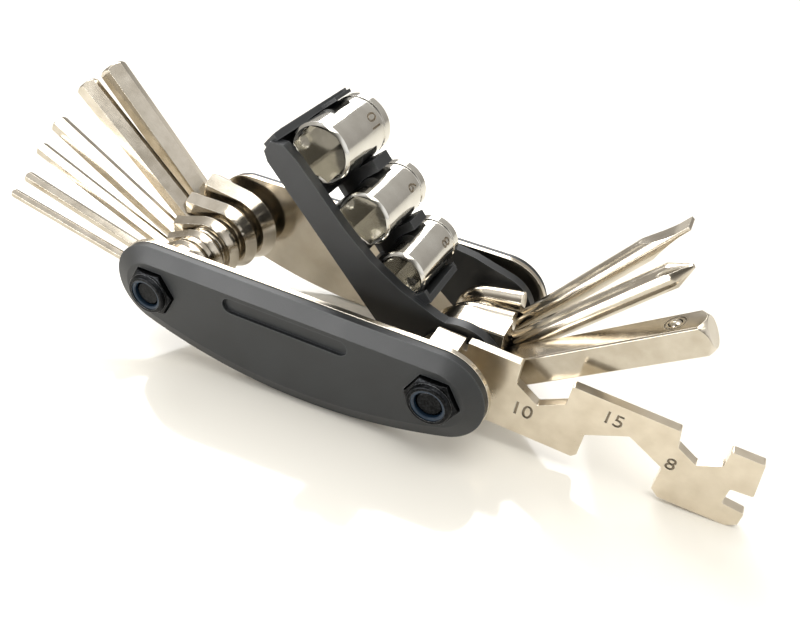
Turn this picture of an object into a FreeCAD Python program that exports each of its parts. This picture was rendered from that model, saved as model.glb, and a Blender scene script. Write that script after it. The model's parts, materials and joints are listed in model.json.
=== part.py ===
import FreeCAD, Part
import math
import os

# Folding bicycle multi-tool, in millimetres.
# +X runs from the hex key axle to the socket side axle, +Y from the front cover to the rear cover,
# +Z up. The origin is on the front cover's flat outer face, midway between the two axles.
# Angles are in the X-Z plane, counted from +X towards +Z.

# frame
axle_spacing = 67.6
inner_gap = 35.0           # between the two steel liners
cover_thickness = 3.0
liner_thickness = 1.2
liner_proud = 0.25         # the liner's edge stands this far outside the cover's
end_radius = 10.4          # rounded ends, concentric with the axles
belly_depth = 16.2         # lowest point below the axle line
bevel_inset = 3.6          # the face's ridge, in from the edge
bevel_height = 1.5
slot_length, slot_width, slot_depth, slot_height = 29.7, 3.7, 0.8, 3.9
recess_depth = 1.3         # nut and bolt head recesses in the covers

# axles and hardware
bolt_radius = 3.0
bore_radius = 3.07         # everything that turns on a bolt
nut_flats = 10.0
nut_recess_flats = 10.5
nut_height = 2.24          # above the cover's face
collar_radius = 4.63
head_radius = 5.0
head_height = 2.4
washer_radius = 5.6
side_play = 0.05           # beside each piece that turns

# hex keys: size across flats, angle when open, how far the cut end leans in, stub length
hex_keys = (
    ("hex_key_2mm", 2.0, 167.9, 48, 5.0),
    ("hex_key_2_5mm", 2.5, 164.6, 48, 5.6),
    ("hex_key_3mm", 3.0, 156.5, 48, 6.4),
    ("hex_key_4mm", 4.0, 149.0, 48, 8.0),
    ("hex_key_5mm", 5.0, 135.7, 44, 9.6),
    ("hex_key_6mm", 6.0, 131.1, 40, 9.9),
)
key_washers = (2.9, 2.3, 1.35, 1.15, 1.15, 1.15)   # in front of each key
key_length = 47.6          # axle to tip

# tools on the other axle
spanner_angle, spanner_front, spanner_thickness = -3.5, 9.3, 2.0
ear_left, ear_right, ear_top, ear_front = -4.5, 1.4, 9.4, 4.6   # thumb ear bent towards the front
spanner_eye = 8.6
square_size, square_angle, square_lean, square_length = 6.2, 35.3, 35.3, 49.3
phillips_size, phillips_angle, phillips_lean, phillips_length = 5.0, 47.0, 42.0, 48.4
flute_length, flute_floor, flute_wall = 8.2, 0.45, 3.2
flat_size, flat_angle, flat_lean, flat_length = 4.6, 52.2, 43.0, 49.0
blade_grind, blade_length, blade_half = 10.4, 2.6, 0.42   # hollow-ground part, blade, half thickness
bar_stub = 8.2
square_front = 14.35
phillips_front = 20.65
flat_front = 28.7
ball_radius, ball_reach, ball_lift = 1.3, 43.6, 0.6

# socket holder, along its own arm (s) and across it (n), before it is turned to its angle
holder_angle = 130.0
holder_front, holder_rear, holder_wall = 11.95, 34.95, 2.3
holder_reach = 57.8
front_ear, rear_ear = 10.0, 8.9    # radii of the eyes on the axle
base_inner, base_outer = 9.9, 12.1
base_start_inner, base_start_outer = 22.0, 23.9   # its near end slopes, clear of a closed hex key
cradle_bottom = 8.8        # under the smallest socket, where a closed hex key passes
cradle_corner = 6.2        # the near wall's outer corner is cut off from here, clear of a closed driver
scallop_place, scallop_radius = (19.0, 13.6), 5.2   # in the rear arm, for the 6 mm key's tip
end_sweep, rear_end_sweep = 58.3, 57.3    # the far end stays inside these radii about the axle
rear_end_front = 31.1
fin_front, fin_rear, fin_top = 23.0, 29.0, -1.0   # the fins that grip the sockets between them
end_fin_thickness = 1.6
cradle_near = 14.0
near_wall_front, near_wall_rear = 14.25, 27.0      # the wall beside the smallest socket
near_wall_top, near_wall_foot, near_wall_end = -2.2, 4.4, 16.6
window_front, window_rear, window_width = 18.8, 25.4, 2.9
window_places = (25.9, 40.3)
grip_gap = 0.15            # between a socket and its clip

# sockets: size across flats, outside diameter, place along and across the holder
sockets = (
    ("socket_10mm", 10.0, 13.1, 49.8, 3.1),
    ("socket_9mm", 9.0, 11.7, 34.6, 2.6),
    ("socket_8mm", 8.0, 11.0, 21.0, 2.2),
)
socket_front, socket_length = 14.45, 18.5
drive_square = 6.4
hex_depth, drive_depth = 9.9, 7.6
hex_turn = 41.0            # of the mouth's first corner, before the holder is turned
through_radius = 1.5
socket_step = 0.12         # the front half is turned down by this much

half_spacing = axle_spacing / 2
liner_face = cover_thickness + liner_thickness
rear_liner_face = liner_face + inner_gap
total_width = 2 * liner_face + inner_gap
origin = FreeCAD.Vector(0, 0, 0)
along_y = FreeCAD.Vector(0, 1, 0)


def at(x, y, z):
    return FreeCAD.Vector(x, y, z)


def disc(x, z, radius, y0, y1):
    return Part.makeCylinder(radius, y1 - y0, at(x, y0, z), along_y)


def ring(x, z, outer, inner, y0, y1):
    return disc(x, z, outer, y0, y1).cut(disc(x, z, inner, y0, y1))


def prism(points, y0, y1):
    corners = [at(x, y0, z) for x, z in points]
    face = Part.Face(Part.makePolygon(corners + corners[:1]))
    return face.extrude(at(0, y1 - y0, 0))


def polygon(sides, across_flats, x, z, first_angle):
    reach = across_flats / 2 / math.cos(math.pi / sides)
    turns = [math.radians(first_angle + 360 / sides * k) for k in range(sides)]
    return [(x + reach * math.cos(t), z + reach * math.sin(t)) for t in turns]


def swing(shape, x, angle):
    # turns a shape made about the origin to its angle, then puts it on the axle at x
    shape.rotate(origin, at(0, -1, 0), angle)
    shape.translate(at(x, 0, 0))
    return shape


def join(shapes):
    return shapes[0].multiFuse(shapes[1:]).removeSplitter()


def save(name, *solids):
    shape = solids[0] if len(solids) == 1 else Part.makeCompound(solids)
    for solid in shape.Solids:
        assert solid.isValid() and solid.Volume > 0, name
    print(f"{name}: {len(shape.Solids)} solid(s), {shape.Volume:.1f} mm3")
    shape.exportStep(f"parts/{name}.step")


# side plates

def outline(inset, y):
    # flat top, ends round the axles, and one long belly arc tangent to both ends
    radius = end_radius - inset
    drop = belly_depth - end_radius
    centre = (half_spacing**2 - drop**2) / (2 * drop)
    reach = math.hypot(half_spacing, centre)
    tangent = (half_spacing * (1 + radius / reach), -centre * radius / reach)
    low = math.atan2(-centre, half_spacing)
    mid = (math.pi / 2 + low) / 2
    side = (half_spacing + radius * math.cos(mid), radius * math.sin(mid))
    top = Part.LineSegment(at(-half_spacing, y, radius), at(half_spacing, y, radius))
    right = Part.Arc(at(half_spacing, y, radius), at(side[0], y, side[1]), at(tangent[0], y, tangent[1]))
    belly = Part.Arc(at(tangent[0], y, tangent[1]), at(0, y, inset - belly_depth),
                     at(-tangent[0], y, tangent[1]))
    left = Part.Arc(at(-tangent[0], y, tangent[1]), at(-side[0], y, side[1]), at(-half_spacing, y, radius))
    return Part.Wire([curve.toShape() for curve in (top, right, belly, left)])


def blank_cover():
    rim = Part.Face(outline(0, bevel_height)).extrude(at(0, cover_thickness - bevel_height, 0))
    crown = Part.makeLoft([outline(bevel_inset, 0), outline(0, bevel_height)], True, True)
    cover = rim.fuse(crown).removeSplitter()
    ridge = [e for e in cover.Edges if e.BoundBox.YMax < 1e-6]
    return cover.makeFillet(0.9, ridge)


def slot_cutter():
    half = (slot_length - slot_width) / 2
    radius = slot_width / 2
    bar = Part.makeBox(2 * half, slot_depth + 1, slot_width, at(-half, -1, slot_height - radius))
    ends = [disc(x, slot_height, radius, -1, slot_depth) for x in (-half, half)]
    return join([bar] + ends)


def build_covers():
    front = blank_cover().cut(slot_cutter())
    rear = blank_cover().cut(slot_cutter())
    for x in (-half_spacing, half_spacing):
        nut_recess = prism(polygon(6, nut_recess_flats, x, 0, 0), -1, recess_depth)
        front = front.cut(nut_recess).cut(disc(x, 0, bore_radius, 0, cover_thickness))
        head_recess = disc(x, 0, head_radius + 0.25, -1, recess_depth)
        rear = rear.cut(head_recess).cut(disc(x, 0, bore_radius, 0, cover_thickness))
    save("front_cover", front)
    save("rear_cover", rear.mirror(at(0, total_width / 2, 0), along_y))


def build_liners():
    for name, y in (("front_liner", cover_thickness), ("rear_liner", rear_liner_face)):
        liner = Part.Face(outline(-liner_proud, y)).extrude(at(0, liner_thickness, 0))
        for x in (-half_spacing, half_spacing):
            liner = liner.cut(disc(x, 0, bore_radius, y, y + liner_thickness))
        save(name, liner)


# bolts, nuts and washers

def turned(profile, x):
    # revolves (radius, y) points about the axle at x
    corners = [at(x + r, y, 0) for r, y in profile]
    face = Part.Face(Part.makePolygon(corners + corners[:1]))
    return face.revolve(at(x, 0, 0), along_y, 360)


def build_bolts():
    seat = total_width - recess_depth
    crown = seat + head_height
    tip = -nut_height + 0.9
    profile = [(0, tip), (bolt_radius - 0.5, tip), (bolt_radius, tip + 0.5), (bolt_radius, seat),
               (head_radius, seat), (head_radius, crown - 0.9), (head_radius - 0.9, crown), (0, crown)]
    for name, x in (("left_axle_bolt", -half_spacing), ("right_axle_bolt", half_spacing)):
        key_socket = prism(polygon(6, 4.0, x, 0, 0), crown - 1.6, crown + 1)
        save(name, turned(profile, x).cut(key_socket))


def build_nuts():
    top = -nut_height
    lip = collar_radius - 0.95
    nut_profile = [(bolt_radius, recess_depth), (6, recess_depth), (6, top + 1.65), (4.8, top + 1.1),
                   (collar_radius, top + 1.1), (collar_radius, top + 0.4), (collar_radius - 0.15, top + 0.12),
                   (collar_radius - 0.4, top), (lip, top), (lip, top + 1.3), (bolt_radius, top + 1.3)]
    insert_profile = [(bolt_radius, top + 1.28), (bolt_radius, top + 0.45), (bolt_radius + 0.2, top + 0.25),
                      (lip, top + 0.25), (lip, top + 1.28)]
    nuts, inserts = [], []
    for x in (-half_spacing, half_spacing):
        hexagon = prism(polygon(6, nut_flats, x, 0, 0), top - 1, recess_depth)
        nuts.append(turned(nut_profile, x).common(hexagon).Solids[0])
        inserts.append(turned(insert_profile, x).Solids[0])
    save("lock_nuts", *nuts)
    save("nylon_inserts", *inserts)


def key_fronts():
    # the front face of each hex key, stacked along the axle
    fronts, y = [], liner_face
    for (_, size, _, _, _), washer in zip(hex_keys, key_washers):
        y += washer + side_play
        fronts.append(y)
        y += size + side_play
    return fronts, y


def build_washers():
    fronts, last = key_fronts()
    left = [ring(-half_spacing, 0, washer_radius, bolt_radius + 0.02, front - side_play - washer,
                 front - side_play) for front, washer in zip(fronts, key_washers)]
    left.append(ring(-half_spacing, 0, washer_radius, bolt_radius + 0.02, last, rear_liner_face))
    save("left_washers", *left)
    gaps = ((liner_face, spanner_front), (spanner_front + spanner_thickness, holder_front),
            (phillips_front + phillips_size, flat_front), (flat_front + flat_size, holder_rear),
            (holder_rear + holder_wall, rear_liner_face))
    right = [ring(half_spacing, 0, washer_radius, bolt_radius + 0.02,
                  a if a == liner_face else a + side_play,
                  b if b == rear_liner_face else b - side_play) for a, b in gaps]
    save("right_washers", *right)


# bent bars

def section(sides, size, y, z):
    if sides == 0:
        return Part.Face(Part.Wire(Part.makeCircle(size / 2, at(0, y, z), at(1, 0, 0))))
    if sides == 4:
        flat, edge = size / 2, size / 2 - 0.3
        ends = [(edge, flat), (flat, edge), (flat, -edge), (edge, -flat)]
        points = ends + [(-p, -q) for p, q in ends]
    else:
        points = polygon(sides, size, 0, 0, 90)
    corners = [at(0, y + p, z + q) for p, q in points]
    return Part.Face(Part.makePolygon(corners + corners[:1]))


def bent_bar(sides, size, front, length, lean, stub, tip):
    # shank along +X under the axle, an eye round the axle, and a cut stub leaning back to the shank
    y = front + size / 2
    half = size / 2 / (math.cos(math.pi / 6) if sides == 6 else 1)
    offset = bore_radius + half
    start = section(sides, size, y, -offset)
    shank = start.extrude(at(length, 0, 0)).common(tip(y, -offset, length))
    wrap = 180 + lean
    eye = start.revolve(origin, along_y, wrap)
    end = start.copy()
    end.rotate(origin, along_y, wrap)
    a = math.radians(lean)
    tail = end.extrude(at(stub * math.cos(a), 0, -stub * math.sin(a)))
    return join([shank, eye, tail]), y, -offset


def pointed(radius, nose, taper):
    # a bar end turned down to a nose radius over the taper's length
    def cutter(y, z, length):
        profile = [(-1, 0), (-1, radius), (length - taper, radius), (length, nose), (length, 0)]
        corners = [at(x, y, z + r) for x, r in profile]
        face = Part.Face(Part.makePolygon(corners + corners[:1]))
        return face.revolve(at(0, y, z), at(1, 0, 0), 360)
    return cutter


def build_hex_keys():
    fronts, _ = key_fronts()
    for (name, size, angle, lean, stub), front in zip(hex_keys, fronts):
        corner = size / 2 / math.cos(math.pi / 6)
        key, _, _ = bent_bar(6, size, front, key_length, lean, stub,
                             pointed(corner, corner - 0.12 * size, 0.1 * size))
        save(name, swing(key.mirror(origin, at(0, 0, 1)), -half_spacing, angle))


def build_square_bar():
    nose = square_size / 2 - 0.1
    bar, y, z = bent_bar(4, square_size, square_front, square_length, square_lean, bar_stub,
                         pointed(nose + 1.9, nose, 2.2))
    top = z + square_size / 2
    floor = top - 4.6
    pocket = Part.makeCylinder(ball_radius + 0.04, 6, at(ball_reach, y, floor))
    save("square_drive_bar", swing(bar.cut(pocket), half_spacing, square_angle))
    ball = Part.makeSphere(ball_radius, at(ball_reach, y, top - ball_radius + ball_lift))
    save("detent_ball", swing(ball, half_spacing, square_angle))
    wire, coil, pitch = 0.15, 0.8, 0.36
    free = 4 * pitch
    helix = Part.makeHelix(pitch, free, coil)
    profile = Part.Wire(Part.makeCircle(wire, at(coil, 0, 0), at(0, 1, 0)))
    spring = Part.Wire(helix).makePipeShell([profile], True, False)
    spring.translate(at(ball_reach, y, floor + wire))
    save("detent_spring", swing(spring, half_spacing, square_angle))


def build_phillips():
    radius = phillips_size / 2
    bar, y, z = bent_bar(0, phillips_size, phillips_front, phillips_length, phillips_lean, bar_stub,
                         pointed(radius, 0.45, 4.2))
    for side in (45, 135, 225, 315):
        flute = flute_cutter(phillips_length + 1, flute_floor, phillips_length - flute_length, radius + 0.5)
        flute.rotate(origin, at(1, 0, 0), side)
        flute.translate(at(0, y, z))
        bar = bar.cut(flute)
    save("phillips_screwdriver", swing(bar, half_spacing, phillips_angle))


def flute_cutter(tip_x, tip_floor, start_x, start_floor):
    # a V-section groove, deepest at the tip, that runs out at the shank's surface
    ends = []
    for x, floor in ((tip_x, tip_floor), (start_x, start_floor)):
        rim = floor + flute_wall
        corners = [at(x, 0, floor), at(x, flute_wall, rim), at(x, -flute_wall, rim)]
        ends.append(Part.makePolygon(corners + corners[:1]))
    return Part.makeLoft(ends, True, True)


def build_flat_driver():
    bar, y, z = bent_bar(0, flat_size, flat_front, flat_length, flat_lean, bar_stub,
                         pointed(flat_size, flat_size, 0.1))
    start, end, past = flat_length - blade_grind, flat_length - blade_length, flat_length + 1
    radius, side_y = flat_size / 2, y - flat_size
    for side in (1, -1):
        # hollow-ground face: an arc from the shank's surface down to the blade
        arc_start = at(start, side_y, z + side * (radius + 0.02))
        arc_middle = at((start + end) / 2, side_y, z + side * (radius - 1.25))
        arc_end = at(end, side_y, z + side * blade_half)
        clear = z + side * 2 * radius
        corners = [arc_end, at(past, side_y, z + side * (blade_half - 0.06)), at(past, side_y, clear),
                   at(start, side_y, clear), arc_start]
        edges = [Part.Arc(arc_start, arc_middle, arc_end).toShape()]
        edges += [Part.LineSegment(p, q).toShape() for p, q in zip(corners, corners[1:])]
        bar = bar.cut(Part.Face(Part.Wire(edges)).extrude(at(0, 2 * flat_size, 0)))
    save("flat_screwdriver", swing(bar, half_spacing, flat_angle))


def build_spanner():
    # jaws: 10 mm and 8 mm in the upper edge, 15 mm in the lower edge, spoke nipple slot in the end
    points = [(2.3, 6.9), (2.3, 9.0), (13.4, 9.0), (13.4, 4.1), (18.5, 0.9), (23.6, 4.1), (23.6, 8.9),
              (44.2, 8.9), (45.0, 5.1), (49.1, 2.7), (53.2, 5.1), (53.2, 9.0), (59.1, 9.1), (60.3, 1.0),
              (56.2, 0.6), (56.2, -3.4), (60.5, -3.8), (60.5, -7.0), (58.7, -8.4), (45.8, -8.8),
              (44.1, -7.2), (44.1, -1.3), (36.5, 2.9), (28.9, -1.3), (28.9, -7.0), (28.0, -8.1),
              (2.0, -8.5), (0, 0)]
    y0, y1 = spanner_front, spanner_front + spanner_thickness
    body = prism(points, y0, y1)
    upright = [e for e in body.Edges
               if e.BoundBox.YLength > 1 and 10 < e.BoundBox.XMin and e.BoundBox.XMax < 61]
    body = body.makeFillet(0.45, upright)
    eye = disc(0, 0, spanner_eye, y0, y1)
    width = ear_right - ear_left
    root = Part.makeBox(width, spanner_thickness, ear_top, at(ear_left, y0, 0))
    tab = Part.makeBox(width, y1 - ear_front, spanner_thickness,
                       at(ear_left, ear_front, ear_top - spanner_thickness))
    ear = join([root, tab])
    for y, bend in ((y1, 1.7), (ear_front, 1.2)):
        top_edge = [e for e in ear.Edges if e.BoundBox.XLength > 1
                    and abs(e.BoundBox.YMax - y) < 1e-6 and abs(e.BoundBox.ZMin - ear_top) < 1e-6]
        ear = ear.makeFillet(bend, top_edge)
    spanner = join([body, eye, ear])
    notch = Part.makeBox(2.3 - ear_right, spanner_thickness, 3, at(ear_right, y0, 6.9))
    spanner = spanner.cut(notch).cut(disc(0, 0, bore_radius, y0, y1))
    save("spanner", swing(spanner, half_spacing, spanner_angle))


# socket holder and sockets

def build_holder():
    front = prism([(-1.2, 9.9), (14, 11.7), (53.8, 13.0), (55.9, 12.2), (56.8, 9.6), (54.9, 7.3),
                   (51.3, 6.5), (35, 5.6), (27, 4.4), (19.2, 1.9), (11, -2.3), (6, -5.8), (3.0, -9.5)],
                  holder_front, holder_front + holder_wall)
    rear = prism([(-1.2, 8.8), (14, 11.7), (54, 12.9), (56.4, 12.2), (56.4, 9.2), (55.2, 8.6), (28, 8.2),
                  (25, 7), (21, 4.4), (16.5, 1.3), (12.5, -2.3), (9, -4.6), (6.3, -6.5), (4.2, -7.8)],
                 holder_rear, holder_rear + holder_wall)
    ears = [disc(0, 0, radius, y, y + holder_wall)
            for radius, y in ((front_ear, holder_front), (rear_ear, holder_rear))]
    base = prism([(base_start_inner, base_inner), (holder_reach, base_inner), (holder_reach, base_outer),
                  (base_start_outer, base_outer)], holder_front + 1, holder_rear + 1)
    cradle = Part.makeBox(holder_reach - cradle_near - 0.6, fin_rear - fin_front, base_inner - fin_top + 1,
                          at(cradle_near, fin_front, fin_top))
    relief = prism([(cradle_near - 1, cradle_corner - 1.5), (cradle_near + 1.8, cradle_bottom),
                    (base_start_inner - 1, cradle_bottom), (base_start_outer, base_outer),
                    (cradle_near - 1, base_outer)], fin_front, fin_rear)
    near_wall = prism([(cradle_near, near_wall_top), (near_wall_end, near_wall_top),
                       (near_wall_end, near_wall_foot), (cradle_near, near_wall_foot)],
                      near_wall_front - 1, near_wall_rear)
    holder = join([front, rear] + ears + [base, cradle.cut(relief), near_wall, end_fin()])
    holder = holder.cut(disc(*scallop_place, scallop_radius, holder_rear, holder_rear + holder_wall))
    for _, _, diameter, s, n in sockets:
        radius = diameter / 2 + grip_gap
        top = near_wall_top - 1
        holder = holder.cut(disc(s, n, radius, holder_front + holder_wall, holder_rear))
        holder = holder.cut(Part.makeBox(2 * radius, holder_rear - holder_front - holder_wall, n - top,
                                         at(s - radius, holder_front + holder_wall, top)))
    for s in window_places:
        holder = holder.cut(Part.makeBox(window_width, window_rear - window_front, 4,
                                         at(s - window_width / 2, window_front, base_inner - 1)))
    holder = holder.cut(disc(0, 0, bore_radius, holder_front, holder_rear + holder_wall))
    holder = holder.common(join([disc(0, 0, end_sweep, 0, rear_end_front),
                                 disc(0, 0, rear_end_sweep, rear_end_front, total_width)]))
    save("socket_holder", swing(holder.removeSplitter(), half_spacing, holder_angle))


def end_fin():
    # the far end's curved fin: low at the front bar, rising to the rear, with a torn edge
    foot = base_inner + 1
    profile = [(holder_front + 1, foot), (holder_front + 1, 8.6), (19.5, 4.6), (25, 1.9), (28.4, 0.3),
               (30.6, 0.9), (31.4, 2.2), (30.4, 3.6), (31.6, 5.2), (31.2, 7.6), (32.2, foot)]
    inner = holder_reach - end_fin_thickness
    corners = [at(inner, y, n) for y, n in profile]
    face = Part.Face(Part.makePolygon(corners + corners[:1]))
    return face.extrude(at(end_fin_thickness, 0, 0))


def build_sockets():
    y0, y1 = socket_front, socket_front + socket_length
    for name, flats, diameter, s, n in sockets:
        radius = diameter / 2
        waist = radius - socket_step
        groove = y1 - 3.6
        profile = [(0, y0), (radius - 0.75, y0), (waist, y0 + 0.8), (waist, y0 + 6.6),
                   (radius, y0 + 7.1), (radius, groove), (radius - 0.3, groove + 0.2),
                   (radius - 0.3, groove + 0.8), (radius, groove + 1.0), (radius, y1 - 0.7),
                   (radius - 0.7, y1), (0, y1)]
        body = turned(profile, 0)
        cavity = prism(polygon(6, flats + 0.1, 0, 0, hex_turn), y0 - 1, y0 + hex_depth)
        corner = (flats + 0.1) / 2 / math.cos(math.pi / 6)
        mouth = Part.makeCone(corner + 0.15, corner - 0.75, 0.9, at(0, y0, 0), along_y)
        drive = prism(polygon(4, drive_square, 0, 0, 45 + hex_turn), y1 - drive_depth, y1 + 1)
        through = disc(0, 0, through_radius, y0, y1)
        body = body.cut(cavity).cut(mouth).cut(drive).cut(through)
        body.translate(at(s, 0, n))
        save(name, swing(body, half_spacing, holder_angle))


os.makedirs("parts", exist_ok=True)
build_covers()
build_liners()
build_bolts()
build_nuts()
build_washers()
build_hex_keys()
build_spanner()
build_square_bar()
build_phillips()
build_flat_driver()
build_holder()
build_sockets()
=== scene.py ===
import json
import math
import bmesh
import bpy
from mathutils import Matrix, Vector

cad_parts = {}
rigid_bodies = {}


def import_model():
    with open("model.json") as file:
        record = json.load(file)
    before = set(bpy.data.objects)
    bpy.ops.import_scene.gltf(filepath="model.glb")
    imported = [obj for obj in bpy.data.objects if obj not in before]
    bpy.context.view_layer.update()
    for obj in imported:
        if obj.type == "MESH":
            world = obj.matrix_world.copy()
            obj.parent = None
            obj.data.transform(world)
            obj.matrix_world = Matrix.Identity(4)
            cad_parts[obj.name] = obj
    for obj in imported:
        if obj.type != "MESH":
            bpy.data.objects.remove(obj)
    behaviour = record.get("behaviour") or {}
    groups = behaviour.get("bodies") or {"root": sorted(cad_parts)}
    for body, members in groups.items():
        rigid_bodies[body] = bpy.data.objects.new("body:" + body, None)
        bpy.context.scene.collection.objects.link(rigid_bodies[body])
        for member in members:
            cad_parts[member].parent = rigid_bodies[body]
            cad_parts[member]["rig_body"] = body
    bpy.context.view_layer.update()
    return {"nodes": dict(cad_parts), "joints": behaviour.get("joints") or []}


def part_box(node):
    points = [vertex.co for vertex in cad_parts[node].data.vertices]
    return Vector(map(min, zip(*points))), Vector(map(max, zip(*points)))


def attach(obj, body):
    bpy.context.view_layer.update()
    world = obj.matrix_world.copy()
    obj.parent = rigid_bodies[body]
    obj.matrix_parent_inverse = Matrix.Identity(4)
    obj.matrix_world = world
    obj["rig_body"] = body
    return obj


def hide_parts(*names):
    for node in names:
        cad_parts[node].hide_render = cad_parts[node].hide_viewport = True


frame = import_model()
print("frame loaded:", len(frame["nodes"]), "nodes")

mm = 0.001
weldGap = 0.0001 * mm
joints = {joint["child"]: joint for joint in frame["joints"]}


def linear(hexColour):
    # sRGB hex to linear RGBA
    parts = [int(hexColour[i:i + 2], 16) / 255 for i in (1, 3, 5)]
    return [p / 12.92 if p <= 0.04045 else ((p + 0.055) / 1.055) ** 2.4 for p in parts] + [1]


def addNode(tree, kind, settings=None, links=None):
    # settings: attributes, or socket values by name; links: socket name to an output socket
    made = tree.nodes.new(kind)
    for key, value in (settings or {}).items():
        if hasattr(made, key):
            setattr(made, key, value)
        else:
            made.inputs[key].default_value = value
    for key, source in (links or {}).items():
        tree.links.new(source, made.inputs[key])
    return made


def startMaterial(name, surface):
    # a material with its Principled shader set, and the coordinates of the piece in millimetres
    material = bpy.data.materials.new(name)
    material.use_nodes = True
    tree = material.node_tree
    tree.nodes.clear()
    shader = addNode(tree, "ShaderNodeBsdfPrincipled", surface)
    addNode(tree, "ShaderNodeOutputMaterial", links={"Surface": shader.outputs["BSDF"]})
    place = addNode(tree, "ShaderNodeTexCoord").outputs["Object"]
    return material, tree, shader, place


def edgeMask(tree, radius):
    # 1 along edges and 0 on open faces, from how far a rounded normal leans from the true one
    rounded = addNode(tree, "ShaderNodeBevel", {"samples": 4, "Radius": radius})
    true = addNode(tree, "ShaderNodeNewGeometry")
    openFace, fullEdge = 0.99, 0.86
    lean = addNode(tree, "ShaderNodeVectorMath", {"operation": "DOT_PRODUCT"})
    tree.links.new(rounded.outputs["Normal"], lean.inputs[0])
    tree.links.new(true.outputs["Normal"], lean.inputs[1])
    mask = addNode(tree, "ShaderNodeMapRange", {"From Min": openFace, "From Max": fullEdge},
                   {"Value": lean.outputs["Value"]})
    return mask.outputs["Result"]


# glass-filled nylon, moulded in a spark-eroded tool: charcoal black, a fine dull grain that spreads
# light into a broad grey sheen, and slightly polished edges
def mouldedNylon(name, look):
    material, tree, shader, place = startMaterial(name, {"IOR": 1.53, "Specular IOR Level": 0.5})
    grain = addNode(tree, "ShaderNodeTexNoise", {"Scale": 1 / look["grain"], "Detail": 3},
                    {"Vector": place})
    flow = addNode(tree, "ShaderNodeTexNoise", {"Scale": 1 / look["flow"], "Detail": 4},
                   {"Vector": place})
    tone = addNode(tree, "ShaderNodeValToRGB", links={"Fac": flow.outputs["Fac"]})
    tone.color_ramp.elements[0].position = 0.3
    tone.color_ramp.elements[0].color = linear(look["dark"])
    tone.color_ramp.elements[1].position = 0.7
    tone.color_ramp.elements[1].color = linear(look["light"])
    rubbed = addNode(tree, "ShaderNodeMixRGB", {"Color2": linear(look["edge"])},
                     {"Fac": edgeMask(tree, look["edgeWidth"]), "Color1": tone.outputs["Color"]})
    dull = addNode(tree, "ShaderNodeMapRange", {"To Min": look["smooth"], "To Max": look["rough"]},
                   {"Value": flow.outputs["Fac"]})
    relief = addNode(tree, "ShaderNodeBump", {"Strength": look["relief"], "Distance": look["depth"]},
                     {"Height": grain.outputs["Fac"]})
    tree.links.new(rubbed.outputs["Color"], shader.inputs["Base Color"])
    tree.links.new(dull.outputs["Result"], shader.inputs["Roughness"])
    tree.links.new(relief.outputs["Normal"], shader.inputs["Normal"])
    return material


# bright nickel on drawn or rolled steel: warm white metal with faint lines along the bar under the
# plating, soft patches of haze, and edges a touch brighter
def nickelPlate(name, look, turn=0.0):
    material, tree, shader, place = startMaterial(name, {"Metallic": 1.0})
    along = addNode(tree, "ShaderNodeMapping", {"Rotation": (0, turn, 0)}, {"Vector": place})
    stretch = addNode(tree, "ShaderNodeMapping", {"Scale": look["stretch"]},
                      {"Vector": along.outputs["Vector"]})
    lines = addNode(tree, "ShaderNodeTexNoise", {"Scale": 1 / look["lineGap"], "Detail": 3},
                    {"Vector": stretch.outputs["Vector"]})
    haze = addNode(tree, "ShaderNodeTexNoise", {"Scale": 1 / look["haze"], "Detail": 4},
                   {"Vector": place})
    tone = addNode(tree, "ShaderNodeValToRGB", links={"Fac": haze.outputs["Fac"]})
    tone.color_ramp.elements[0].position = 0.32
    tone.color_ramp.elements[0].color = linear(look["dark"])
    tone.color_ramp.elements[1].position = 0.68
    tone.color_ramp.elements[1].color = linear(look["light"])
    bright = addNode(tree, "ShaderNodeMixRGB", {"Color2": linear(look["edge"])},
                     {"Fac": edgeMask(tree, look["edgeWidth"]), "Color1": tone.outputs["Color"]})
    patchy = addNode(tree, "ShaderNodeMapRange", {"To Min": look["smooth"], "To Max": look["rough"]},
                     {"Value": haze.outputs["Fac"]})
    relief = addNode(tree, "ShaderNodeBump", {"Strength": look["relief"], "Distance": look["depth"]},
                     {"Height": lines.outputs["Fac"]})
    swell = addNode(tree, "ShaderNodeBump", {"Strength": look["swell"], "Distance": look["swellDepth"]},
                    {"Height": haze.outputs["Fac"], "Normal": relief.outputs["Normal"]})
    tree.links.new(bright.outputs["Color"], shader.inputs["Base Color"])
    tree.links.new(patchy.outputs["Result"], shader.inputs["Roughness"])
    tree.links.new(swell.outputs["Normal"], shader.inputs["Normal"])
    return material


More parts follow.
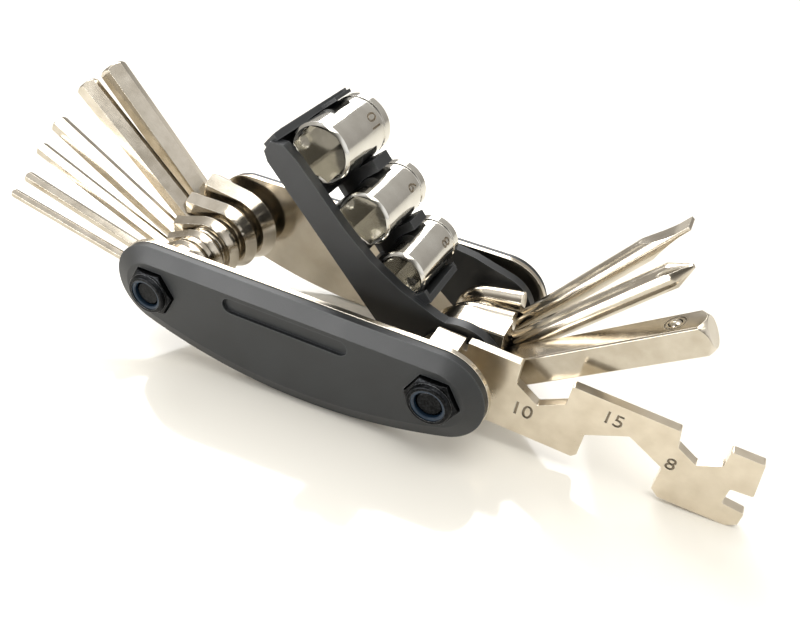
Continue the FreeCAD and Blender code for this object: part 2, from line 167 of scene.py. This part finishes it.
# black oxide on turned steel: near black with a dull gloss, worn to grey metal on its corners
def blackOxide(name, look):
    material, tree, shader, place = startMaterial(name, {"Metallic": 1.0})
    specks = addNode(tree, "ShaderNodeTexNoise", {"Scale": 1 / look["specks"], "Detail": 5},
                     {"Vector": place})
    tone = addNode(tree, "ShaderNodeValToRGB", links={"Fac": specks.outputs["Fac"]})
    tone.color_ramp.elements[0].position = 0.4
    tone.color_ramp.elements[0].color = linear(look["dark"])
    tone.color_ramp.elements[1].position = 0.75
    tone.color_ramp.elements[1].color = linear(look["light"])
    worn = addNode(tree, "ShaderNodeMath", {"operation": "MULTIPLY"})
    tree.links.new(edgeMask(tree, look["edgeWidth"]), worn.inputs[0])
    tree.links.new(specks.outputs["Fac"], worn.inputs[1])
    bare = addNode(tree, "ShaderNodeMixRGB", {"Color2": linear(look["edge"])},
                   {"Fac": worn.outputs["Value"], "Color1": tone.outputs["Color"]})
    dull = addNode(tree, "ShaderNodeMapRange", {"To Min": look["smooth"], "To Max": look["rough"]},
                   {"Value": specks.outputs["Fac"]})
    relief = addNode(tree, "ShaderNodeBump", {"Strength": look["relief"], "Distance": look["depth"]},
                     {"Height": specks.outputs["Fac"]})
    tree.links.new(bare.outputs["Color"], shader.inputs["Base Color"])
    tree.links.new(dull.outputs["Result"], shader.inputs["Roughness"])
    tree.links.new(relief.outputs["Normal"], shader.inputs["Normal"])
    return material


# dyed nylon ring, machined by the bolt's thread: deep blue, waxy, with fine turned rings
def dyedNylon(name, look):
    material, tree, shader, place = startMaterial(name, {"IOR": 1.53})
    mottle = addNode(tree, "ShaderNodeTexNoise", {"Scale": 1 / look["mottle"], "Detail": 3},
                     {"Vector": place})
    tone = addNode(tree, "ShaderNodeValToRGB", links={"Fac": mottle.outputs["Fac"]})
    tone.color_ramp.elements[0].color = linear(look["dark"])
    tone.color_ramp.elements[1].color = linear(look["light"])
    dull = addNode(tree, "ShaderNodeMapRange", {"To Min": look["smooth"], "To Max": look["rough"]},
                   {"Value": mottle.outputs["Fac"]})
    relief = addNode(tree, "ShaderNodeBump", {"Strength": look["relief"], "Distance": look["depth"]},
                     {"Height": mottle.outputs["Fac"]})
    tree.links.new(tone.outputs["Color"], shader.inputs["Base Color"])
    tree.links.new(dull.outputs["Result"], shader.inputs["Roughness"])
    tree.links.new(relief.outputs["Normal"], shader.inputs["Normal"])
    return material


coverLook = {"dark": "#141618", "light": "#1d2022", "edge": "#3b3e40", "grain": 0.3 * mm,
             "flow": 9 * mm, "edgeWidth": 0.5 * mm, "smooth": 0.4, "rough": 0.52,
             "relief": 0.5, "depth": 0.04 * mm}    # real grain is about 0.1 mm, drawn coarser to show
holderLook = dict(coverLook, dark="#191a1c", light="#222426", grain=0.5 * mm, smooth=0.36, rough=0.5)
barLook = {"dark": "#bdb4a4", "light": "#cfc7b9", "edge": "#e6e1d6", "edgeWidth": 0.2 * mm,
           "lineGap": 0.3 * mm, "stretch": (0.02, 1, 1), "haze": 4 * mm, "smooth": 0.12, "rough": 0.24,
           "relief": 0.14, "depth": 0.02 * mm, "swell": 0.1, "swellDepth": 0.15 * mm}
plateLook = dict(barLook, dark="#d6cbb8", light="#e4dac8", stretch=(1, 0.15, 1), lineGap=0.22 * mm,
                 smooth=0.24, rough=0.36, relief=0.24)
# struck marks: darker, rougher nickel for the faces cut by a numeral; the darker colour is painted shade in
# the groove
struckShadeLook = dict(barLook, dark="#756b5c", light="#8f8473", smooth=0.35, rough=0.55)
linerLook = dict(barLook, stretch=(0.08, 1, 1), smooth=0.14, rough=0.24, haze=9 * mm)
ringLook = dict(barLook, stretch=(1, 6, 1), lineGap=1.2 * mm, smooth=0.08, rough=0.18)
chromeLook = dict(barLook, dark="#cfccc4", light="#dcdad3", edge="#f0eee8", stretch=(1, 9, 1),
                  lineGap=2.4 * mm, smooth=0.06, rough=0.15, relief=0.05, haze=5 * mm)
boltLook = {"dark": "#151617", "light": "#303133", "edge": "#8f9092", "specks": 0.4 * mm,
            "edgeWidth": 0.22 * mm, "smooth": 0.22, "rough": 0.42, "relief": 0.15, "depth": 0.02 * mm}
insertLook = {"dark": "#0d1b28", "light": "#1a3044", "mottle": 0.6 * mm, "smooth": 0.28, "rough": 0.45,
              "relief": 0.2, "depth": 0.03 * mm}

coverPlastic = mouldedNylon("moulded_glass_filled_nylon", coverLook)
holderPlastic = mouldedNylon("moulded_nylon_holder", holderLook)
stampedNickel = nickelPlate("stamped_steel_satin_nickel", plateLook)
struckShadeSteel = nickelPlate("struck_steel_painted_shade_in_the_marks", struckShadeLook)
rolledNickel = nickelPlate("rolled_steel_bright_nickel", linerLook)
turnedNickel = nickelPlate("turned_washers_bright_nickel", ringLook)
socketChrome = nickelPlate("polished_chrome_vanadium", chromeLook)
oxideSteel = blackOxide("black_oxide_steel", boltLook)
insertNylon = dyedNylon("blue_dyed_nylon", insertLook)
print("materials made")


smoothing = {"segments": 2, "fromAngle": 32, "sharpAngle": 40, "flatAngle": 0.5}    # angles in degrees


def cadCopy(node):
    # the node's mesh, welded, with its flat faces merged again
    shape = bmesh.new()
    shape.from_mesh(frame["nodes"][node].data)
    bmesh.ops.remove_doubles(shape, verts=shape.verts, dist=weldGap)
    bmesh.ops.dissolve_limit(shape, angle_limit=math.radians(smoothing["flatAngle"]),
                             verts=shape.verts, edges=shape.edges)
    mesh = bpy.data.meshes.new(node)
    shape.to_mesh(mesh)
    shape.free()
    if "custom_normal" in mesh.attributes:
        mesh.attributes.remove(mesh.attributes["custom_normal"])
    return mesh


def applyModifiers(piece):
    solved = bpy.data.meshes.new_from_object(piece.evaluated_get(bpy.context.evaluated_depsgraph_get()))
    piece.modifiers.clear()
    piece.data = solved


def softened(node, name, width, material, cutters=()):
    # stands for a CAD node with its sharp edges rounded to a real radius, and with any stamped marks, whose
    # cut faces get darker steel as painted shade in the groove
    piece = bpy.data.objects.new(name, cadCopy(node))
    piece.data.materials.clear()
    piece.data.materials.append(material)
    bpy.context.scene.collection.objects.link(piece)
    rounding = piece.modifiers.new("rounding", "BEVEL")
    rounding.width = width
    rounding.segments = smoothing["segments"]
    rounding.limit_method = "ANGLE"
    rounding.angle_limit = math.radians(smoothing["fromAngle"])
    rounding.use_clamp_overlap = True
    rounding.miter_outer = "MITER_ARC"
    for cutter in cutters:
        # the cut faces of each mark take the darker struck steel: painted shade in the groove
        cutter.data.materials.append(struckShadeSteel)
        cut = piece.modifiers.new("mark", "BOOLEAN")
        cut.operation = "DIFFERENCE"
        cut.material_mode = "TRANSFER"
        cut.object = cutter
        cut.solver = "EXACT"
    applyModifiers(piece)
    for cutter in cutters:
        bpy.data.objects.remove(cutter)
    piece.data.shade_smooth()
    even = piece.modifiers.new("even", "WEIGHTED_NORMAL")
    even.keep_sharp = True
    piece.data.set_sharp_from_angle(angle=math.radians(smoothing["sharpAngle"]))
    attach(piece, frame["nodes"][node]["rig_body"])
    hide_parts(node)
    return piece


def finish(node, material):
    # a CAD node whose shape stays gets its material in every slot
    for slot in frame["nodes"][node].material_slots:
        slot.material = material


def numeral(text, height, depth):
    # a size numeral as a solid, reading along +X with its face towards +Z
    curve = bpy.data.curves.new("numeral", "FONT")
    curve.body = text
    curve.size = height / 0.7        # the font's figures are 0.7 of its size
    curve.extrude = depth
    curve.offset = 0.02 * height     # struck figures are heavier than printed ones
    curve.align_x = "CENTER"
    curve.align_y = "CENTER"
    curve.resolution_u = 4
    flat = bpy.data.objects.new("numeral", curve)
    bpy.context.scene.collection.objects.link(flat)
    mesh = bpy.data.meshes.new_from_object(flat.evaluated_get(bpy.context.evaluated_depsgraph_get()))
    bpy.data.objects.remove(flat)
    solid = bpy.data.objects.new("numeral", mesh)
    bpy.context.scene.collection.objects.link(solid)
    weld = bmesh.new()
    weld.from_mesh(mesh)
    bmesh.ops.remove_doubles(weld, verts=weld.verts, dist=weldGap)
    weld.to_mesh(mesh)
    weld.free()
    return solid


def axle(body):
    return Vector(joints[body]["pos_m"])


def reachAngle(node):
    # the direction of a folding tool in the X-Z plane, from its axle to its farthest point
    centre = axle(node)
    far = max((v.co for v in frame["nodes"][node].data.vertices),
              key=lambda co: math.hypot(co.x - centre.x, co.z - centre.z))
    return math.atan2(far.z - centre.z, far.x - centre.x)


# covers, liners and hardware
frameBody = {"coverEdge": 0.25 * mm, "linerEdge": 0.12 * mm, "nutEdge": 0.12 * mm, "washerEdge": 0.12 * mm}
for side in ("front", "rear"):
    softened(side + "_cover", side + "_cover_moulding", frameBody["coverEdge"], coverPlastic)
    softened(side + "_liner", side + "_liner_plate", frameBody["linerEdge"], rolledNickel)
softened("lock_nuts", "lock_nut_pair", frameBody["nutEdge"], oxideSteel)
for side in ("left", "right"):
    softened(side + "_washers", side + "_washer_stack", frameBody["washerEdge"], turnedNickel)
    softened(side + "_axle_bolt", side + "_bolt", frameBody["nutEdge"], oxideSteel)
finish("nylon_inserts", insertNylon)
print("frame, liners and hardware done")

# bars and keys: each has its own material because the drawn lines run along it
barEdges = {"hex_key_2mm": 0.06 * mm, "hex_key_2_5mm": 0.06 * mm, "hex_key_3mm": 0.08 * mm,
            "hex_key_4mm": 0.1 * mm, "hex_key_5mm": 0.12 * mm, "hex_key_6mm": 0.14 * mm,
            "square_drive_bar": 0.2 * mm, "phillips_screwdriver": 0.08 * mm,
            "flat_screwdriver": 0.08 * mm}
stake = {"inner": 1.75 * mm, "outer": 2.1 * mm, "depth": 0.14 * mm, "faceBelowBall": 0.6 * mm,
         "sides": 48}


def stakeRing():
    # the ring-shaped punch mark that holds the detent ball in
    inward = Vector(joints["detent_ball"]["axis"])
    low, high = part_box("detent_ball")
    surface = (low + high) / 2 - inward * ((high.y - low.y) / 2 - stake["faceBelowBall"])
    turn = inward.to_track_quat("Z", "Y")
    shape = bmesh.new()
    count = stake["sides"]
    rings = []
    for radius, drop in (("inner", -1), ("outer", -1), ("outer", 1), ("inner", 1)):
        rings.append([shape.verts.new(surface + turn @ Vector((
            stake[radius] * math.cos(math.tau * k / count), stake[radius] * math.sin(math.tau * k / count),
            drop * stake["depth"]))) for k in range(count)])
    for near, far in zip(rings, rings[1:] + rings[:1]):
        for k in range(count):
            shape.faces.new((near[k], near[k - 1], far[k - 1], far[k]))
    bmesh.ops.recalc_face_normals(shape, faces=shape.faces)
    mesh = bpy.data.meshes.new("stake")
    shape.to_mesh(mesh)
    shape.free()
    ring = bpy.data.objects.new("stake", mesh)
    bpy.context.scene.collection.objects.link(ring)
    return ring


for node, width in barEdges.items():
    drawn = nickelPlate(node + "_bright_nickel", barLook, reachAngle(node))
    marks = [stakeRing()] if node == "square_drive_bar" else []
    softened(node, node + "_bar", width, drawn, marks)
finish("detent_ball", turnedNickel)
finish("detent_spring", turnedNickel)
print("keys and drivers done")

# spanner: size numerals are struck into its front face, with painted shade on their cut faces
spanner = {"edge": 0.32 * mm, "strike": 0.22 * mm, "halfThickness": 1.0 * mm, "turn": -3.5,
           "numerals": (("10", 3.3 * mm, 16 * mm, -2 * mm), ("15", 3 * mm, 32.6 * mm, 5.1 * mm),
                        ("8", 2.9 * mm, 45.2 * mm, 0.4 * mm))}
spannerTurn = math.radians(spanner["turn"])
struck = []
plateFront = axle("spanner").y - spanner["halfThickness"]
for text, height, u, v in spanner["numerals"]:
    figure = numeral(text, height, spanner["strike"])
    centre = axle("spanner")
    x = centre.x + u * math.cos(spannerTurn) - v * math.sin(spannerTurn)
    z = centre.z + u * math.sin(spannerTurn) + v * math.cos(spannerTurn)
    figure.matrix_world = (Matrix.Translation((x, plateFront, z)) @ Matrix.Rotation(-spannerTurn, 4, "Y")
                           @ Matrix.Rotation(math.pi / 2, 4, "X"))
    struck.append(figure)
bpy.context.view_layer.update()
softened("spanner", "spanner_plate", spanner["edge"], stampedNickel, struck)
print("spanner done")

# socket holder
softened("socket_holder", "socket_holder_moulding", 0.2 * mm, holderPlastic)

# sockets: a size numeral bent round each body, between its two turned bands, with painted shade on its cut
# faces
socket = {"edge": 0.07 * mm, "strike": 0.12 * mm, "height": 3 * mm, "back": 5.8 * mm, "turn": 35,
          "numerals": {"socket_10mm": "10", "socket_9mm": "9", "socket_8mm": "8"}}
for node, text in socket["numerals"].items():
    low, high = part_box(node)
    centre = (low + high) / 2
    radius = (high.x - low.x) / 2
    figure = numeral(text, socket["height"], socket["strike"])
    for vertex in figure.data.vertices:
        # the figure's X runs round the socket, its Y towards the socket's mouth, and its Z outwards
        turn = math.radians(socket["turn"]) + vertex.co.x / radius
        reach = radius + vertex.co.z
        vertex.co = (centre.x + reach * math.cos(turn), high.y - socket["back"] - vertex.co.y,
                     centre.z + reach * math.sin(turn))
    softened(node, node + "_body", socket["edge"], socketChrome, [figure])
print("sockets done")

# table: the tool rests on its belly and on the spanner's tip
tableLook = {"colour": "#e8e5dd", "smooth": 0.05, "rough": 0.1, "cloud": 30, "size": 3.0}


def restingEdge():
    # the lower edge of the whole tool's side view that lies under its middle
    middle = 20 * mm
    dots = sorted({(round(v.co.x, 6), round(v.co.z, 6))
                   for node in frame["nodes"].values() for v in node.data.vertices})
    hull = []
    for dot in dots:
        while len(hull) > 1:
            (ax, az), (bx, bz) = hull[-2], hull[-1]
            if (bx - ax) * (dot[1] - az) - (bz - az) * (dot[0] - ax) > 0:
                break
            hull.pop()
        hull.append(dot)
    return next((a, b) for a, b in zip(hull, hull[1:]) if a[0] <= middle < b[0])


(ax, az), (bx, bz) = restingEdge()
slope = math.atan2(bz - az, bx - ax)
half = tableLook["size"] / 2
tableMesh = bpy.data.meshes.new("table")
tableMesh.from_pydata([(-half, -half, 0), (half, -half, 0), (half, half, 0), (-half, half, 0)], [],
                      [(0, 1, 2, 3)])
table = bpy.data.objects.new("table", tableMesh)
bpy.context.scene.collection.objects.link(table)
table.matrix_world = Matrix.Translation((ax, 0, az)) @ Matrix.Rotation(-slope, 4, "Y")
laminate = {"Base Color": linear(tableLook["colour"]), "IOR": 1.5}
tableWhite, tree, shader, place = startMaterial("white_laminate", laminate)
cloud = addNode(tree, "ShaderNodeTexNoise", {"Scale": tableLook["cloud"], "Detail": 2}, {"Vector": place})
gloss = addNode(tree, "ShaderNodeMapRange", {"To Min": tableLook["smooth"], "To Max": tableLook["rough"]},
                {"Value": cloud.outputs["Fac"]})
tree.links.new(gloss.outputs["Result"], shader.inputs["Roughness"])
table.data.materials.append(tableWhite)
print("table slope", round(math.degrees(slope), 2))

# soft studio light: a room with a white ceiling, greyer walls, a bright right side and a darker side
# behind the camera, with a large window-like panel at the back left
world = bpy.data.worlds.new("pale_room")
bpy.context.scene.world = world
world.use_nodes = True
tree = world.node_tree
tree.nodes.clear()
direction = addNode(tree, "ShaderNodeTexCoord").outputs["Generated"]
height = addNode(tree, "ShaderNodeSeparateXYZ", links={"Vector": direction})
room = {"floor": (0.0, "#a3a09a"), "wall": (0.12, "#a9a5a0"), "upperWall": (0.7, "#c2bfba"),
        "ceiling": (0.93, "#ffffff")}
rise = addNode(tree, "ShaderNodeValToRGB", links={"Fac": height.outputs["Z"]})
while len(rise.color_ramp.elements) < len(room):
    rise.color_ramp.elements.new(0.5)
for stop, (level, colour) in zip(rise.color_ramp.elements, room.values()):
    stop.position = level
    stop.color = linear(colour)
shade = rise.outputs["Color"]
sides = {"white_side": ((0.9, 0.05, 0.43), (0.7, 0.92), "#ffffff"),
         "dark_side": ((0.1, -0.75, 0.66), (0.72, 0.95), "#6a6762")}
for toward, (start, full), colour in sides.values():
    facing = addNode(tree, "ShaderNodeVectorMath", {"operation": "DOT_PRODUCT"})
    tree.links.new(direction, facing.inputs[0])
    facing.inputs[1].default_value = toward
    amount = addNode(tree, "ShaderNodeMapRange", {"From Min": start, "From Max": full},
                     {"Value": facing.outputs["Value"]})
    shade = addNode(tree, "ShaderNodeMixRGB", {"Color2": linear(colour)},
                    {"Fac": amount.outputs["Result"], "Color1": shade}).outputs["Color"]
roomStrength = 1.15
glow = addNode(tree, "ShaderNodeBackground", {"Strength": roomStrength}, {"Color": shade})
addNode(tree, "ShaderNodeOutputWorld", links={"Surface": glow.outputs["Background"]})

lamps = {
    "window_panel": {"place": (-0.55, 0.75, 0.7), "size": (1.0, 0.7), "power": 13, "colour": "#ffffff"},
    "top_panel": {"place": (0.1, -0.12, 0.95), "size": (0.7, 0.6), "power": 5, "colour": "#fffdf8"},
    "low_front_panel": {"place": (-0.5, -0.95, 0.12), "size": (0.8, 0.35), "power": 8, "colour": "#ffffff"},
}
for name, lamp in lamps.items():
    panel = bpy.data.lights.new(name, "AREA")
    panel.shape = "RECTANGLE"
    panel.size, panel.size_y = lamp["size"]
    panel.energy = lamp["power"]
    panel.color = linear(lamp["colour"])[:3]
    stand = bpy.data.objects.new(name, panel)
    bpy.context.scene.collection.objects.link(stand)
    stand.location = lamp["place"]
    stand.rotation_euler = (-Vector(lamp["place"])).to_track_quat("-Z", "Y").to_euler()
print("light set")

# camera: hand-held, above and in front of the right end
camera = {"place": (68.35 * mm, -104.43 * mm, 104.2 * mm), "turn": 22.36, "down": 37.23, "roll": 5.69,
          "lens": 34.97}
eye = bpy.data.cameras.new("camera")
eye.lens = camera["lens"]
eye.clip_start = 1 * mm
viewer = bpy.data.objects.new("camera", eye)
bpy.context.scene.collection.objects.link(viewer)
viewer.matrix_world = (Matrix.Translation(camera["place"])
                       @ Matrix.Rotation(math.radians(camera["turn"]), 4, "Z")
                       @ Matrix.Rotation(math.radians(90 - camera["down"]), 4, "X")
                       @ Matrix.Rotation(math.radians(camera["roll"]), 4, "Z"))
bpy.context.scene.camera = viewer
bpy.context.scene.view_settings.view_transform = "Standard"
print("camera set")
